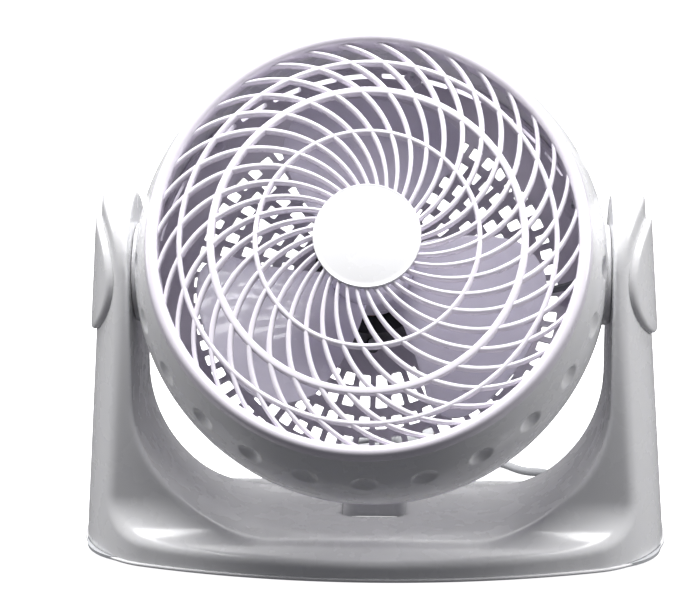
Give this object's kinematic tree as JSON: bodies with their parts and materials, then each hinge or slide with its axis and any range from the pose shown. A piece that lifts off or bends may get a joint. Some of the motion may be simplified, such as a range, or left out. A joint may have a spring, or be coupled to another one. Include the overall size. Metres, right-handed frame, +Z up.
{
  "type": "tabletop fan",
  "caption": "Tabletop air circulator: a round fan head with a spiral grille that tilts between the arms of a U-shaped stand.",
  "frame": {"origin": "on the floor, under the middle of the whole fan", "axes": "+Z up, -Y the way the fan blows, +X to the right of someone who faces its front"},
  "size_m": [0.359, 0.3143, 0.3141],
  "materials": {
    "white_plastic": "smooth injection-moulded gloss white ABS",
    "blade_plastic": "smooth translucent-looking lilac grey, satin",
    "knob_plastic": "satin off-white",
    "base_grey": "matt light grey, fine texture",
    "foot_rubber": "matt",
    "cord_plastic": "smooth satin PVC",
    "tie_plastic": "satin",
    "lead_plastic": "satin PVC",
    "screw_steel": "zinc plated",
    "pin_metal": "polished",
    "motor_black": "satin black",
    "core_steel": "laminated, dull",
    "winding_copper": "enamelled copper wire",
    "bushing_bronze": "sintered bronze",
    "switch_black": "satin"
  },
  "bodies": {
    "stand": {"stand_shell": "white_plastic", "base_plate": "base_grey", "rubber_feet": "foot_rubber", "base_screws": "screw_steel", "left_pivot_cap": "white_plastic", "right_pivot_cap": "white_plastic", "stand_lead": "lead_plastic", "lead_clamp": "base_grey", "clamp_screws": "screw_steel", "strain_relief": "cord_plastic", "power_cord": "cord_plastic", "cord_coil": "cord_plastic", "cord_tie": "tie_plastic", "plug_body": "cord_plastic", "plug_pins": "pin_metal"},
    "head": {"drum_housing": "white_plastic", "front_grille": "white_plastic", "hub_cap": "white_plastic", "rear_grille": "white_plastic", "grille_screws": "screw_steel", "left_pivot_retainer": "screw_steel", "right_pivot_retainer": "screw_steel", "retainer_screws": "screw_steel", "head_lead": "lead_plastic", "motor_front_shell": "motor_black", "motor_rear_shell": "motor_black", "motor_bolts": "screw_steel", "stator_core": "core_steel", "stator_windings": "winding_copper", "shaft_bushings": "bushing_bronze", "motor_screws": "screw_steel", "switch_housing": "white_plastic", "switch_housing_screws": "screw_steel", "speed_switch": "switch_black"},
    "rotor": {"impeller": "blade_plastic", "motor_shaft": "screw_steel", "rotor_core": "core_steel", "impeller_nut": "switch_black"},
    "knob": {"speed_knob": "knob_plastic"}
  },
  "joints": [
    {"name": "head_tilt", "type": "hinge", "parent": "stand", "child": "head", "pos_m": [0, 0.016, 0.169], "axis": [-1, 0, 0], "range_deg": [-30, 60]},
    {"name": "impeller_spin", "type": "hinge", "parent": "head", "child": "rotor", "pos_m": [0, 0.016, 0.169], "axis": [0, -0.866, 0.5], "continuous": true},
    {"name": "speed_knob_turn", "type": "hinge", "parent": "head", "child": "knob", "pos_m": [0, 0.016, 0.169], "axis": [0, 0.866, -0.5], "range_deg": [0, 135]}
  ]
}
